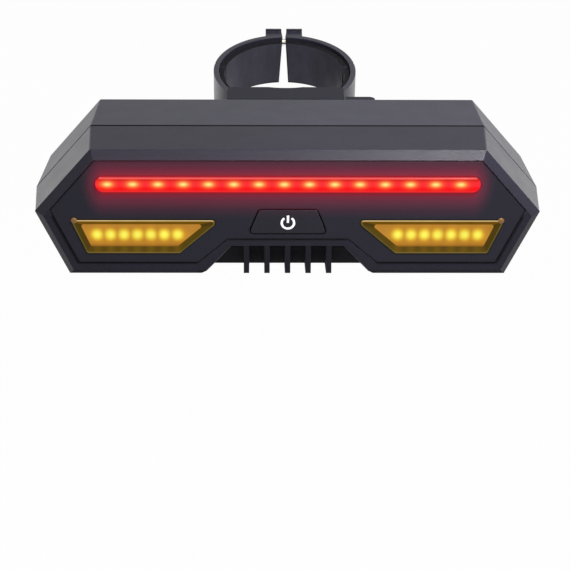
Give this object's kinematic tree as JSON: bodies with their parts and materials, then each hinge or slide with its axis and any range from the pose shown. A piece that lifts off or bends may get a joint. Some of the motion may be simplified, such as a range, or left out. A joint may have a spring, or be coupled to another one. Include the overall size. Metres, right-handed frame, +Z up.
{
  "type": "bike tail light",
  "caption": "Wide six-sided rear light with a red bar, amber turn-signal windows, a push button, a charging port cover and a seat-post clamp.",
  "frame": {"origin": "centre of the clamp's bore, half way up the ring", "axes": "-Y is where the lens looks, +X is the viewer's right when facing the lens, +Z is up; the bore leans 9 degrees in the YZ plane, its top towards the lens"},
  "size_m": [0.1218, 0.0905, 0.0342],
  "materials": {
    "casing": "fine spark-eroded grain",
    "panel": "fine grain, darker than the casing",
    "clamp_plastic": "fine grain",
    "liner_rubber": "matte",
    "red_lens": "clear polished, lit",
    "red_guide": "translucent, lit",
    "led_red": "lit",
    "amber_lens": "clear polished",
    "amber_diffuser": "frosted, lit",
    "led_amber": "lit",
    "button_plastic": "fine grain",
    "symbol_white": "plain",
    "silicone": "matte",
    "switch_black": "plain",
    "board_green": "solder resist",
    "radio_green": "solder resist",
    "steel": "zinc plated",
    "cell_wrap": "plastic sleeve over a metal can",
    "foam": "open foam",
    "lead_insulation": "insulated wire",
    "socket_steel": "plated",
    "cover_rubber": "matte"
  },
  "bodies": {
    "clamp": {"clamp_base": "clamp_plastic", "clamp_liner_base": "liner_rubber"},
    "arm_left": {"clamp_arm_left": "clamp_plastic", "clamp_liner_left": "liner_rubber"},
    "arm_right": {"clamp_arm_right": "clamp_plastic", "clamp_liner_right": "liner_rubber", "clamp_nut": "steel"},
    "screw": {"clamp_screw": "steel"},
    "button": {"power_button": "button_plastic", "button_symbol": "symbol_white", "button_seal": "silicone", "switch_plunger": "switch_black"},
    "port_cover": {"usb_cover": "cover_rubber"},
    "light": {"front_housing": "casing", "rear_housing": "casing", "front_panel": "panel", "rail_plate": "casing", "red_lens": "red_lens", "red_light_guide": "red_guide", "red_leds": "led_red", "amber_lens_left": "amber_lens", "amber_lens_right": "amber_lens", "amber_diffuser_left": "amber_diffuser", "amber_diffuser_right": "amber_diffuser", "amber_leds_left": "led_amber", "amber_leds_right": "led_amber", "tact_switch": "switch_black", "main_board": "board_green", "board_screws": "steel", "radio_module": "radio_green", "battery_cell": "cell_wrap", "battery_holder": "casing", "battery_foam": "foam", "battery_leads": "lead_insulation", "usb_socket": "socket_steel", "housing_gasket": "silicone", "housing_screws": "steel", "rail_screws": "steel"}
  },
  "joints": [
    {"name": "light_slide", "type": "slide", "parent": "clamp", "child": "light", "axis": [1, 0, 0], "range_m": [0, 0.032]},
    {"name": "clamp_arm_left_close", "type": "hinge", "parent": "clamp", "child": "arm_left", "pos_m": [-0.01773, 0.0035, 0.00055], "axis": [0, -0.1564, 0.9877], "range_deg": [-0.9, 0], "stiffness_Nm_per_rad": 0.5},
    {"name": "clamp_arm_right_close", "type": "hinge", "parent": "clamp", "child": "arm_right", "pos_m": [0.01773, 0.0035, 0.00055], "axis": [0, -0.1564, 0.9877], "range_deg": [0, 0.9], "stiffness_Nm_per_rad": 0.5},
    {"name": "clamp_screw_turn", "type": "hinge", "parent": "arm_left", "child": "screw", "pos_m": [0, 0.01945, 0.00698], "axis": [1, 0, 0], "range_deg": [0, 540]},
    {"name": "power_button_press", "type": "slide", "parent": "light", "child": "button", "axis": [0, 1, 0], "range_m": [0, 0.0004], "stiffness_N_per_m": 4000},
    {"name": "usb_cover_open", "type": "hinge", "parent": "light", "child": "port_cover", "pos_m": [0.04775, -0.057, -0.02048], "axis": [0, -1, 0], "range_deg": [0, 100]}
  ],
  "couplings": [
    {"joint": "clamp_arm_right_close", "follows": "clamp_arm_left_close", "ratio": -1}
  ]
}
